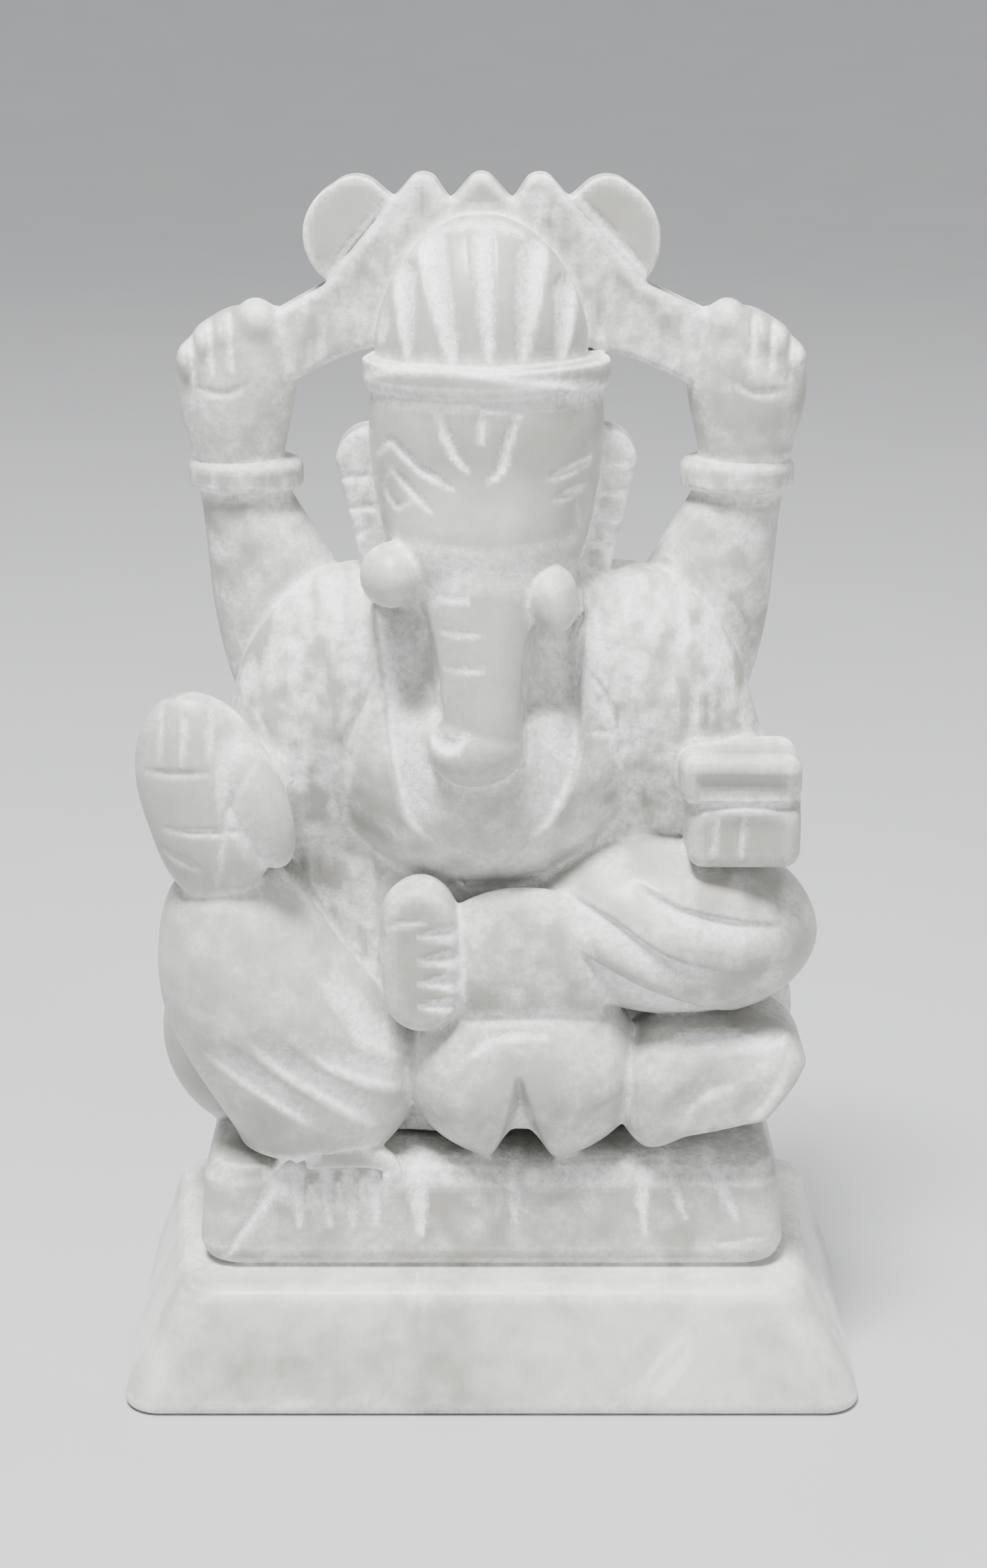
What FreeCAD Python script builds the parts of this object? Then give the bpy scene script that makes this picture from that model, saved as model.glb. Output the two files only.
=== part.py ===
import FreeCAD, Part

import math
import os

# Small carved stone idol of the seated elephant-headed Ganesha, in millimetres.
# +Z is up, the idol faces -Y, and the origin is the middle of the plinth's underside.
# "right" and "left" are the idol's own sides, so its right side is at -X.
# The idol is cut from one block.  Each carved volume is a solid of its own, and the
# solids meet face to face along the chiselled creases between them.

Vector = FreeCAD.Vector
Rotation = FreeCAD.Rotation

doc = FreeCAD.newDocument("GaneshaIdol")
sheet = doc.addObject("Spreadsheet::Sheet", "Sizes")
next_row = 0


def cell(alias, value):
    """Put one driving dimension in the sheet under its alias."""
    global next_row
    next_row += 1
    sheet.set(f"A{next_row}", alias)
    sheet.set(f"B{next_row}", str(value))
    sheet.setAlias(f"B{next_row}", alias)


def cells(part, **values):
    """Put a sub-part's dimensions in the sheet as part_name."""
    for name, value in values.items():
        cell(f"{part}_{name}", value)


# ---------------------------------------------------------------- driving dimensions

# Whole block
cell("block_tall", 100)
cell("base_wide", 62.6)
cell("base_back_wide", 63.6)
cell("base_deep", 34)
cell("plinth_tall", 10)
cell("slab_tall", 9.6)
cell("plate_front", 1.2)        # front of the upper plates behind the crown
cell("plate_thick", 4.4)
cell("haft_hand", 17.6)         # from the middle to where each haft leaves its fist
cell("haft_tip", 4.6)           # from the crown's middle to the top of each haft
cell("figure_lean", -0.8)       # the head, trunk and belly stand this far off centre

# Seat
cells("plinth", front_wide=51, back_wide=57.6, top_deep=26.8, corner=3, edge=0.9)
cells("slab", wide=50, deep=22.5, y=1.2, top_wide=48.6, top_deep=20.5, corner=3, edge=1.8)

# Trunk, body and head: place and full size of each round form
cells("torso", y=3.3, z=30, wide=41.6, deep=16.8, tall=38.2)
cells("belly", y=-0.3, z=52.8, wide=25.4, deep=20.6, tall=22.4)
cells("head", y=-1.3, z=67.2, wide=18.8, deep=15.8, tall=16.6)
cells("band", y=-0.9, z=83.4, wide=19.8, deep=17.2, tall=2.6, edge=1.0)
cells("crown", y=0.1, z=86.0, wide=16.9, deep=14.8, tall=10.9)
cells("trunk", root_y=-5.6, tip_y=-9.9, z=56.8, wide=11.4, deep=9.4, tall=14.6)
cells("curl", x=-1.3, y=-9.9, z=56.2, wide=7.8, deep=6.6, tall=6.4)
cells("tusk", right_x=-7.7, right_z=69.6, left_x=4.7, left_z=68.1, y=-7.4)
cells("tusk_form", wide=4.3, deep=6.2, tall=4.7)
cells("ear", front=-1.2, thick=4.6, root=5.4, foot=10.1, out=12.2, low=68.4, top=80.2)

# Raised arms
cells("raised_arm", y=4.0, z=50.5, tall=24.0, low_x=13.2, high_x=20.4, wide=12.4, deep=8.6)
cells("bangle", x=20.2, y=3.8, z=74.5, wide=9.4, deep=8.4, tall=2.7, edge=0.9)
cells("fist", x=20.8, y=3.3, z=77.2, wide=9.7, deep=8.2, tall=12.2)

# Front arms and what the hands hold
cells("upper_arm", x=14.2, y=0.4, z=57.0, wide=14.6, deep=14.8, tall=23.4, tilt=-15)
cells("forearm", x=19.2, y=-0.6, z=51.2, wide=8.8, deep=8.6, tall=8.2)
cells("blessing", x=-22.9, y=-7.4, z=51.8, wide=11.2, deep=6.4, tall=17.0, tilt=-17)
cells("thumb", x=-18.9, y=-8.6, z=51.0, wide=5.0, deep=5.2, tall=11.4, tilt=-20)
cells("sweet_hand", x=20.4, front=-10.2, z=45.8, wide=9.2, deep=7.2, tall=5.5, edge=1.4)
cells("sweet", x=20.0, front=-10.8, z=51.3, wide=9.8, deep=7.8, tall=4.2, edge=1.4)

# Legs, feet and draped cloth
cells("knee", x=-16.8, y=-4.5, z=20.2, wide=20.6, deep=15.6, tall=24.0)
cells("right_foot", x=-13.0, y=-8.9, z=18.6, wide=11.0, deep=7.0, tall=6.0)
cells("thigh", x=14.8, y=-2.6, z=39.0, wide=25.2, deep=19.6, tall=15.6, tilt=5)
cells("shin", x=2.6, y=-8.2, z=37.3, wide=16.6, deep=6.0, tall=13.0)
cells("left_foot", x=-5.7, y=-8.4, z=38.3, wide=7.0, deep=8.2, tall=13.0)
cells("centre_drape", x=2.8, y=-5.6, z=27.0, wide=20.4, deep=14.6, tall=16.4)
cells("side_drape", x=18.6, front=-11.4, z=20.0, wide=15.8, deep=15.0, tall=11.4, edge=4.3)
cells("right_hip", x=-19.8, y=5.0, z=26.2, wide=18.4, deep=13.6, tall=19.4)
cells("left_hip", x=18.2, y=5.2, z=28.0, wide=16.4, deep=13.2, tall=18.6)

doc.recompute()


def size(alias):
    """Read a dimension back from the sheet."""
    return float(sheet.get(alias))


def put(obj, x, y, z, tilt=0.0):
    """Place an object by expressions, and lean it by tilt degrees about the Y axis."""
    obj.Placement = FreeCAD.Placement(Vector(), Rotation(Vector(0, 1, 0), tilt))
    obj.setExpression("Placement.Base.x", x)
    obj.setExpression("Placement.Base.y", y)
    obj.setExpression("Placement.Base.z", z)
    return obj


# ---------------------------------------------------------------- building blocks

EGG_LEVELS = 7


def egg(part, x=None, mirror=1, form=None):
    """A pebble-round form of the part's wide, deep and tall, centred on its place."""
    form = form or part
    upright = size(f"{form}_deep") > size(f"{form}_wide")
    long_way, short_way = ("deep", "wide") if upright else ("wide", "deep")
    ovals = []
    for number in range(EGG_LEVELS):
        turn = math.pi * (number + 0.5) / EGG_LEVELS
        oval = doc.addObject("Part::Ellipse", f"{part}_level{number}")
        share = f"* {math.sin(turn):.4f} / 2"
        oval.setExpression("MajorRadius", f"Sizes.{form}_{long_way} {share}")
        oval.setExpression("MinorRadius", f"Sizes.{form}_{short_way} {share}")
        put(oval, "0", "0", f"-Sizes.{form}_tall * {math.cos(turn):.4f} / 2")
        if upright:
            oval.Placement.Rotation = Rotation(Vector(0, 0, 1), 90)
        ovals.append(oval)
    loft = doc.addObject("Part::Loft", f"{part}_egg")
    loft.Sections = ovals
    loft.Solid = True
    tilt = size(f"{form}_tilt") * mirror if has(f"{form}_tilt") else 0.0
    place_x = x or f"Sizes.{form}_x * {mirror}"
    return put(loft, place_x, f"Sizes.{form}_y", f"Sizes.{form}_z", tilt)


def has(alias):
    """Say whether the sheet holds a cell of this alias."""
    return sheet.getCellFromAlias(alias) is not None


def stack(part, levels, x, y, form=None):
    """Loft a form through level ovals.

    Each level is (height, width, depth, shift), the first three as fractions of the
    form's tall, wide and deep; x and y give the expressions of the centre for a shift
    of 0 at the foot to 1 at the head.
    """
    form = form or part
    ovals = []
    for number, (height, width, depth, shift) in enumerate(levels):
        oval = doc.addObject("Part::Ellipse", f"{part}_level{number}")
        oval.setExpression("MajorRadius", f"Sizes.{form}_wide * {width} / 2")
        oval.setExpression("MinorRadius", f"Sizes.{form}_deep * {depth} / 2")
        put(oval, x(shift), y(shift), f"Sizes.{form}_z + Sizes.{form}_tall * {height}")
        ovals.append(oval)
    loft = doc.addObject("Part::Loft", f"{part}_loft")
    loft.Sections = ovals
    loft.Solid = True
    return loft


def still(expression):
    """A centre line that doesn't move with the level's shift."""
    return lambda shift: expression


def between(first, last):
    """A centre line that runs from one expression to another with the shift."""
    return lambda shift: f"({first}) * {1 - shift:.3f} + ({last}) * {shift:.3f}"


def round_edges(part, base, radius, edges):
    """Fillet the named edges of a primitive with the radius of a cell."""
    fillet = doc.addObject("Part::Fillet", f"{part}_round")
    fillet.Base = base
    fillet.Edges = [(edge, size(radius), size(radius)) for edge in edges]
    return fillet


def pillow(part):
    """A block with every edge rounded: place is the middle of its foot at the front."""
    block = doc.addObject("Part::Box", f"{part}_block")
    block.setExpression("Length", f"Sizes.{part}_wide")
    block.setExpression("Width", f"Sizes.{part}_deep")
    block.setExpression("Height", f"Sizes.{part}_tall")
    put(block, f"Sizes.{part}_x - Sizes.{part}_wide / 2", f"Sizes.{part}_front",
        f"Sizes.{part}_z")
    doc.recompute()
    return round_edges(part, block, f"{part}_edge", range(1, 13))


def oval_disc(part, x, name=None):
    """An oval disc with rounded rims, such as a bangle or the crown's band."""
    name = name or part
    oval = doc.addObject("Part::Ellipse", f"{name}_oval")
    oval.setExpression("MajorRadius", f"Sizes.{part}_wide / 2")
    oval.setExpression("MinorRadius", f"Sizes.{part}_deep / 2")
    put(oval, x, f"Sizes.{part}_y", f"Sizes.{part}_z")
    disc = doc.addObject("Part::Extrusion", f"{name}_disc")
    disc.Base = oval
    disc.DirMode = "Custom"
    disc.Dir = Vector(0, 0, 1)
    disc.setExpression("LengthFwd", f"Sizes.{part}_tall")
    disc.Solid = True
    doc.recompute()
    rims = [number for number, edge in enumerate(disc.Shape.Edges, 1) if edge.isClosed()]
    return round_edges(name, disc, f"{part}_edge", rims)


def plate(part, outline, front, thick, edge=0.7):
    """A flat plate: an outline of lines and arcs in the XZ plane, padded towards +Y.

    A point is (x, z); a point after the word "through" is the middle of an arc.
    """
    body = doc.addObject("PartDesign::Body", f"{part}_body")
    sketch = body.newObject("Sketcher::SketchObject", f"{part}_outline")
    upright = [plane for plane in body.Origin.OriginFeatures if plane.Role == "XZ_Plane"][0]
    sketch.AttachmentSupport = [(upright, "")]
    sketch.MapMode = "FlatFace"
    start = outline[0]
    middle = None
    for point in outline[1:] + outline[:1]:
        if point[0] == "through":
            middle = point[1:]
            continue
        ends = Vector(*start, 0), Vector(*point, 0)
        if middle:
            sketch.addGeometry(Part.Arc(ends[0], Vector(*middle, 0), ends[1]))
        else:
            sketch.addGeometry(Part.LineSegment(*ends))
        start = point
        middle = None
    pad = body.newObject("PartDesign::Pad", f"{part}_pad")
    pad.Profile = sketch
    pad.Reversed = True
    pad.setExpression("Length", thick)
    doc.recompute()
    if edge:
        rim = body.newObject("PartDesign::Fillet", f"{part}_rim")
        front_face = [f"Face{n}" for n, f in enumerate(pad.Shape.Faces, 1)
                      if f.CenterOfMass.y < 1e-6 and abs(f.normalAt(0, 0).y) > 0.99]
        rim.Base = (pad, front_face)
        rim.Radius = edge
    put(body, "0", front, "0")
    return body


def fused(part, *pieces):
    """Join overlapping forms into the one solid of a sub-part."""
    join = doc.addObject("Part::MultiFuse", f"{part}_fuse")
    join.Shapes = list(pieces)
    return join


def rounded_outline(sketch, wide, deep, y, back_wide, radius):
    """Draw a rectangle, or a trapezium with a wider back, with round corners."""
    front, back = wide / 2, back_wide / 2
    corners = [Vector(-front, y - deep / 2, 0), Vector(front, y - deep / 2, 0),
               Vector(back, y + deep / 2, 0), Vector(-back, y + deep / 2, 0)]
    arcs = []
    for number, corner in enumerate(corners):
        arms = [(corners[number - 1] - corner).normalize(),
                (corners[(number + 1) % 4] - corner).normalize()]
        half_turn = arms[0].getAngle(arms[1]) / 2
        setback = radius / math.tan(half_turn)
        inward = (arms[0] + arms[1]).normalize()
        middle = corner + inward * (radius / math.sin(half_turn) - radius)
        arcs.append((corner + arms[0] * setback, middle, corner + arms[1] * setback))
    for number, (start, middle, end) in enumerate(arcs):
        sketch.addGeometry(Part.Arc(start, middle, end))
        sketch.addGeometry(Part.LineSegment(end, arcs[(number + 1) % 4][0]))


def block_loft(part, tall, z, lower, upper):
    """A tapered block with round corners and edges between two outlines, as a Body.

    lower and upper are the foot's and the top's (width, depth, y, width at the back).
    """
    body = doc.addObject("PartDesign::Body", f"{part}_body")
    flat = [plane for plane in body.Origin.OriginFeatures if plane.Role == "XY_Plane"][0]
    edge, whole = size(f"{part}_edge"), size(tall)
    quarter = [(edge * (1 - math.cos(turn)), edge * (1 - math.sin(turn)))
               for turn in (0, math.pi / 4, math.pi / 2)]
    levels = quarter + [(whole - rise, inset) for rise, inset in reversed(quarter)]
    sketches = []
    for number, (height, inset) in enumerate(levels):
        sketch = body.newObject("Sketcher::SketchObject", f"{part}_level{number}")
        sketch.AttachmentSupport = [(flat, "")]
        sketch.MapMode = "FlatFace"
        sketch.setExpression("AttachmentOffset.Base.z", f"Sizes.{tall} * {height / whole:.4f}")
        wide, deep, y, back_wide = [low + (high - low) * height / whole
                                    for low, high in zip(lower, upper)]
        rounded_outline(sketch, wide - 2 * inset, deep - 2 * inset, y,
                        back_wide - 2 * inset, size(f"{part}_corner"))
        sketches.append(sketch)
    loft = body.newObject("PartDesign::AdditiveLoft", f"{part}_loft")
    loft.Profile = sketches[0]
    loft.Sections = sketches[1:]
    loft.Ruled = True
    return put(body, "0", "0", z)


# ---------------------------------------------------------------- sub-parts


def plinth():
    """Stepped base: a flat-topped block whose sides slope out to the foot."""
    lower = (size("base_wide"), size("base_deep"), 0, size("base_back_wide"))
    upper = (size("plinth_front_wide"), size("plinth_top_deep"), 0, size("plinth_back_wide"))
    return block_loft("plinth", "plinth_tall", "0", lower, upper)


def seat_slab():
    """Round-edged slab that the figure sits on."""
    low_wide, top_wide = size("slab_wide"), size("slab_top_wide")
    lower = (low_wide, size("slab_deep"), size("slab_y"), low_wide)
    upper = (top_wide, size("slab_top_deep"), size("slab_y"), top_wide)
    return block_loft("slab", "slab_tall", "Sizes.plinth_tall", lower, upper)


def torso():
    """Chest, waist and back as one bell-shaped form."""
    levels = [(-0.26, 0.84, 0.92, 0), (0.1, 0.94, 1.0, 0), (0.45, 0.94, 0.96, 0),
              (0.75, 0.86, 0.84, 0), (0.92, 0.72, 0.7, 0), (1.0, 0.5, 0.52, 0)]
    return stack("torso", levels, still("0"), still("Sizes.torso_y"))


def head():
    """Elephant head, widest at the temples and narrow at the cheeks."""
    levels = [(0.0, 0.62, 0.62, 0), (0.2, 0.83, 0.86, 0), (0.5, 0.95, 0.97, 0),
              (0.8, 1.0, 1.0, 0), (1.0, 0.97, 0.98, 0)]
    return stack("head", levels, still("Sizes.figure_lean / 2"), still("Sizes.head_y"))


def crown():
    """Tall round crown, closed at the top as a dome."""
    levels = [(0.0, 1.0, 1.0, 0), (0.3, 0.97, 0.96, 0), (0.55, 0.84, 0.83, 0),
              (0.78, 0.63, 0.62, 0), (0.93, 0.39, 0.4, 0), (1.0, 0.14, 0.14, 0)]
    return stack("crown", levels, still("Sizes.figure_lean"), still("Sizes.crown_y"))


def trunk():
    """Trunk that hangs down over the belly and ends in a curl to the idol's right."""
    levels = [(-0.05, 0.58, 0.64, 1), (0.3, 0.62, 0.7, 0.75), (0.62, 0.74, 0.84, 0.4),
              (1.0, 1.0, 1.0, 0)]
    hang = stack("trunk", levels, still("Sizes.figure_lean"),
                 between("Sizes.trunk_root_y", "Sizes.trunk_tip_y"))
    return fused("trunk", hang, egg("curl"))


def tusk(side):
    """Short blunt tusk beside the root of the trunk."""
    obj = egg(f"{side}_tusk", x=f"Sizes.tusk_{side}_x", form="tusk_form")
    return put(obj, f"Sizes.tusk_{side}_x", "Sizes.tusk_y", f"Sizes.tusk_{side}_z")


def ear(side, mirror):
    """Upright ear plate, widest near its round top."""
    lean = size("figure_lean") / 2
    root, foot, out = (lean + mirror * size(f"ear_{name}") for name in ("root", "foot", "out"))
    low, top = size("ear_low"), size("ear_top")
    shoulder = top - 2.6
    outline = [(root, low), (foot, low), (out, shoulder),
               ("through", out - mirror * 0.9, top - 0.7), (out - mirror * 3, top), (root, top)]
    return plate(f"{side}_ear", outline, "Sizes.ear_front", "Sizes.ear_thick", 0.8)


def crown_back_peak():
    """Pointed middle of the stone that stands behind the crown."""
    lean, top = size("figure_lean"), size("block_tall")
    half_widths = ((4.0, 88.0), (3.6, 95.0), (2.5, 97.8), (0.9, 99.6))
    right_edge = [(lean + half, height) for half, height in half_widths]
    left_edge = [(lean - half, height) for half, height in reversed(half_widths)]
    outline = left_edge[-1:] + right_edge + [("through", lean, top)] + left_edge[:-1]
    return plate("crown_back_peak", outline, "Sizes.plate_front", "Sizes.plate_thick")


def axe_handle(side, mirror):
    """Haft from the fist to the top of the crown, with the web of stone under it."""
    lean = size("figure_lean")
    tip = lean + mirror * size("haft_tip")
    hand = mirror * size("haft_hand")
    outline = [(hand, 89.0), (mirror * 13.0 + lean / 2, 91.3),
               (tip + mirror * 2.3, 98.1), (tip + mirror * 0.9, 99.7),
               ("through", tip, 99.95), (tip - mirror * 0.9, 99.6),
               (tip - mirror * 2.1, 97.8), (lean + mirror * 2.6, 88.0),
               (lean + mirror * 9.2, 86.2), ("through", lean / 2 + mirror * 13.0, 84.9),
               (hand, 82.4)]
    return plate(f"{side}_axe_handle", outline, "Sizes.plate_front", "Sizes.plate_thick")


def axe_blade(side, mirror):
    """Fan-shaped blade on the outer side of the haft."""
    lean = size("figure_lean")
    heel = (lean / 2 + mirror * 12.6, 91.5)
    corner = (lean + mirror * 11.8, 99.1)
    toe = (lean + mirror * 8.5, 99.3)
    neck = (lean + mirror * 7.0, 98.0)
    outline = [heel, ("through", lean + mirror * 14.2, 95.8), corner,
               ("through", lean + mirror * 10.1, 99.8), toe, neck]
    front = "Sizes.plate_front + 0.3"
    return plate(f"{side}_axe_blade", outline, front, "Sizes.plate_thick - 0.6", edge=0)


def raised_arm(side, mirror):
    """Back arm, raised beside the head, from behind the shoulder to the bangle."""
    levels = [(0.0, 0.8, 0.9, 0), (0.4, 0.98, 1.0, 0.42), (0.68, 0.9, 1.0, 0.64),
              (0.85, 0.74, 0.9, 0.82), (1.0, 0.6, 0.78, 1)]
    line = between(f"Sizes.raised_arm_low_x * {mirror}", f"Sizes.raised_arm_high_x * {mirror}")
    return stack(f"{side}_raised_arm", levels, line, still("Sizes.raised_arm_y"), "raised_arm")


def fist(side, mirror):
    """Closed hand above the bangle, highest where the haft leaves it."""
    levels = [(0.0, 0.78, 0.78, 0), (0.36, 0.97, 0.97, 0), (0.66, 0.98, 0.95, 0.15),
              (0.87, 0.76, 0.78, 0.5), (1.0, 0.4, 0.46, 1)]
    middle = f"Sizes.fist_x * {mirror}"
    line = between(middle, f"{middle} - 1.7 * {mirror}")
    return stack(f"{side}_fist", levels, line, still("Sizes.fist_y"), "fist")


def raised_leg():
    """Bent right leg under its cloth: knee at the top outside, shin down to the foot."""
    levels = [(0.0, 0.62, 0.74, 0.9), (0.26, 0.92, 0.98, 0.85), (0.55, 0.9, 1.0, 0.42),
              (0.8, 0.66, 0.86, 0.08), (0.94, 0.5, 0.64, 0), (1.0, 0.34, 0.42, 0)]
    line = between("Sizes.knee_x - 4.6", "Sizes.knee_x + 2.4")
    return stack("raised_leg", levels, line, still("Sizes.knee_y"), "knee")


def folded_thigh():
    """Left thigh folded level in front of the body."""
    return egg("folded_thigh", form="thigh")


# ---------------------------------------------------------------- one solid per name


def sub_parts():
    """Every sub-part's whole form, in the order in which a form keeps its shape."""
    sides = (("right", -1), ("left", 1))
    yield "plinth", plinth()
    yield "seat_slab", seat_slab()
    yield "trunk", trunk()
    for side, _ in sides:
        yield f"{side}_tusk", tusk(side)
    yield "head", head()
    yield "crown_band", oval_disc("band", "Sizes.figure_lean / 2")
    yield "crown", crown()
    for side, mirror in sides:
        yield f"{side}_ear", ear(side, mirror)
    yield "crown_back_peak", crown_back_peak()
    for side, mirror in sides:
        yield f"{side}_fist", fist(side, mirror)
        yield f"{side}_axe_handle", axe_handle(side, mirror)
        yield f"{side}_axe_blade", axe_blade(side, mirror)
        yield f"{side}_bangle", oval_disc("bangle", f"Sizes.bangle_x * {mirror}",
                                          f"{side}_bangle")
    yield "blessing_thumb", egg("blessing_thumb", form="thumb")
    yield "blessing_hand", egg("blessing_hand", form="blessing")
    yield "sweet", pillow("sweet")
    yield "sweet_hand", pillow("sweet_hand")
    yield "left_foot", egg("left_foot")
    yield "right_foot", egg("right_foot")
    yield "raised_leg", raised_leg()
    yield "centre_drape", egg("centre_drape")
    yield "side_drape", pillow("side_drape")
    yield "folded_thigh", folded_thigh()
    yield "left_shin", egg("left_shin", form="shin")
    yield "belly", egg("belly", x="Sizes.figure_lean")
    yield "torso", torso()
    for side, mirror in sides:
        yield f"{side}_forearm", egg(f"{side}_forearm", mirror=mirror, form="forearm")
        yield f"{side}_upper_arm", egg(f"{side}_upper_arm", mirror=mirror, form="upper_arm")
    for side, mirror in sides:
        yield f"{side}_raised_arm", raised_arm(side, mirror)
    yield "right_hip", egg("right_hip")
    yield "left_hip", egg("left_hip")


def cut_by(name, form, tool):
    """Take an earlier sub-part's volume out of a later one, so that they meet face to face."""
    cut = doc.addObject("Part::Cut", f"{name}_less_{tool.Label}")
    cut.Base = form
    cut.Tool = tool
    doc.recompute()
    return cut


SLIVER = 1e-4       # cubic mm: less shared stone than this is only a touch
whole_forms = []
finished = {}
for name, form in sub_parts():
    doc.recompute()
    whole = form
    for earlier in whole_forms:
        near = form.Shape.BoundBox.intersect(earlier.Shape.BoundBox)
        if near and form.Shape.common(earlier.Shape).Volume > SLIVER:
            form = cut_by(name, form, earlier)
    whole.Label = f"{name}_whole"
    form.Label = name
    whole_forms.append(whole)
    finished[name] = form

doc.recompute()
for obj in doc.Objects:
    if {"Invalid", "Error"} & set(obj.State):
        raise RuntimeError(f"{obj.Name} failed: {obj.State}")
os.makedirs("parts", exist_ok=True)
for name, obj in finished.items():
    shape = obj.Shape
    if shape.isNull() or not shape.isValid():
        raise RuntimeError(f"{name} has no valid shape")
    print(f"{name:18} solids {len(shape.Solids)} volume {shape.Volume:9.1f}")
    shape.exportStep(f"parts/{name}.step")
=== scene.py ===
import math

import bpy
import numpy as np
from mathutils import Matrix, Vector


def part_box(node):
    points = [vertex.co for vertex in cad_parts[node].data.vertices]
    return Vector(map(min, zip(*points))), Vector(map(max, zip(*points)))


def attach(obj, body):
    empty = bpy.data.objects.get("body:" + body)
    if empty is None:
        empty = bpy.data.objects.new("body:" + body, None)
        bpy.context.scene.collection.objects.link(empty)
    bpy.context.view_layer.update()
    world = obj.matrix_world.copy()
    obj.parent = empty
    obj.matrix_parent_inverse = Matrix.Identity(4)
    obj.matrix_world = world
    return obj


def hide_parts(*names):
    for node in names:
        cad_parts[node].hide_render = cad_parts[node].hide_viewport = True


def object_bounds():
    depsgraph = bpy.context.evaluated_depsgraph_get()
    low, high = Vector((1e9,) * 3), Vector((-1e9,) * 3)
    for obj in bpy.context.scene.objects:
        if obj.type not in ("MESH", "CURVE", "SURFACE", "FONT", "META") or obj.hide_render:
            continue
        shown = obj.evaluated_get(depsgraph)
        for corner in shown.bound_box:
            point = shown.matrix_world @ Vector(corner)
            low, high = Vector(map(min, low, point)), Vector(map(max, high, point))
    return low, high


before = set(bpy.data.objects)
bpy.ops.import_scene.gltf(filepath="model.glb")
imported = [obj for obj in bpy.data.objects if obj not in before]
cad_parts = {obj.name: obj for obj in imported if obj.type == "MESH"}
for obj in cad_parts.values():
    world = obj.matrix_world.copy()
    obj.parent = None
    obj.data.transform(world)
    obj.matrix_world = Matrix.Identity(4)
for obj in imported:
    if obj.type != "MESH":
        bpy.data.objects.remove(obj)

import openvdb
from mathutils import Vector

# The idol is carved again here as one block of stone.  Every carved volume of the frame
# becomes a field of distances on one grid of points, the fields are joined with soft
# creases, folds and features are cut into the front, and the block is then divided
# back into one closed piece for each volume.  Lengths in this part are in millimetres,
# and "right" and "left" are the idol's own.

MM = 0.001
CAD_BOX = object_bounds()
NODES = sorted(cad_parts)
STEP = 0.2       # distance between grid points
MARGIN = 2.0                            # free space round the block
BAND = 3.0                              # how far from its surface a form is measured
CREASE = 0.3                            # how softly two forms meet
BODY_CREASE = 3.0                       # the same for the chest, arms and hips
BELLY_CREASE = 1.4
THUMB_CREASE = 1.8
NEAR_DEEP = 3.0                         # how far behind the front a line still cuts
FAR_DEEP = 9.0                          # how far behind the front a hollow still cuts
RIM_STEPS = 2                           # grid points by which a front reaches past its edge
CHISEL = 0.42                           # depth of the chisel marks
SEAM = 1.1                              # width of the chiselled crease between volumes
EDGE_PASSES = 5                         # how wide an edge counts as worn and gets a painted highlight
EDGE_GAIN = 5.0                         # how white the worn edges and their painted highlight are
SIDE_FROST = 0.35                       # whiteness of the sides and the back
OVERLAP = 1.2 * STEP                    # how far neighbouring pieces reach into each other
TUCK = 0.4                              # slope at which a piece sinks below its neighbour
PLANE_SOFT = 0.6                        # how softly a planed face meets the rest
ARRIS = 0.35                            # width of the steep side of a step cut
MATT = 0.04                             # roughness of stone that isn't in ROUGH
STREAKED_FROM = 0.45                    # rougher stone than this has streaks, not mottles


def corner(vector):
    """A point of the frame as a numpy array in millimetres."""
    return np.array(vector, dtype=np.float64) / MM


def box(node):
    """The lowest and highest corner of a node, in millimetres."""
    low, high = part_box(node)
    return corner(low), corner(high)


# ---------------------------------------------------------------- the block of points

LOW = corner(CAD_BOX[0]) - MARGIN
SHAPE = tuple(int(math.ceil(size / STEP)) for size in corner(CAD_BOX[1]) + MARGIN - LOW)
AXES = [LOW[axis] + STEP * np.arange(SHAPE[axis]) for axis in range(3)]


def window(low, high):
    """The slices of the grid that hold a box and a band round it."""
    first = [max(0, int((low[a] - BAND - LOW[a]) / STEP)) for a in range(3)]
    last = [min(SHAPE[a], int((high[a] + BAND - LOW[a]) / STEP) + 2) for a in range(3)]
    return tuple(slice(f, l) for f, l in zip(first, last))


def soft_min(a, b, width):
    """The lower of two distances, rounded over where they are closer than the width."""
    mix = np.clip(0.5 + 0.5 * (b - a) / width, 0, 1)
    return b + (a - b) * mix - width * mix * (1 - mix)


def blur(field, passes):
    """Soften a field by averaging each point with its neighbours along every axis."""
    for _ in range(passes):
        for axis in range(field.ndim):
            inner = [slice(None)] * field.ndim
            before, after = list(inner), list(inner)
            inner[axis] = slice(1, -1)
            before[axis] = slice(0, -2)
            after[axis] = slice(2, None)
            mean = 0.25 * (field[tuple(before)] + field[tuple(after)])
            field[tuple(inner)] = 0.5 * field[tuple(inner)] + mean
    return field


# ---------------------------------------------------------------- forms


def cad_form(node, where):
    """The distance field of a node's own CAD mesh."""
    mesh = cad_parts[node].data
    mesh.calc_loop_triangles()
    points = np.empty(len(mesh.vertices) * 3, dtype=np.float32)
    mesh.vertices.foreach_get("co", points)
    points = points.reshape(-1, 3) / MM
    triangles = np.empty(len(mesh.loop_triangles) * 3, dtype=np.int32)
    mesh.loop_triangles.foreach_get("vertices", triangles)
    start = np.array([part.start for part in where])
    points = (points - LOW) / STEP - start
    grid = openvdb.FloatGrid.createLevelSetFromPolygons(
        points.astype(np.float32), triangles=triangles.reshape(-1, 3).astype(np.uint32),
        transform=openvdb.createLinearTransform(1.0), halfWidth=BAND / STEP)
    field = np.empty([part.stop - part.start for part in where], dtype=np.float32)
    grid.copyToArray(field)
    return field * STEP


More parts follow.
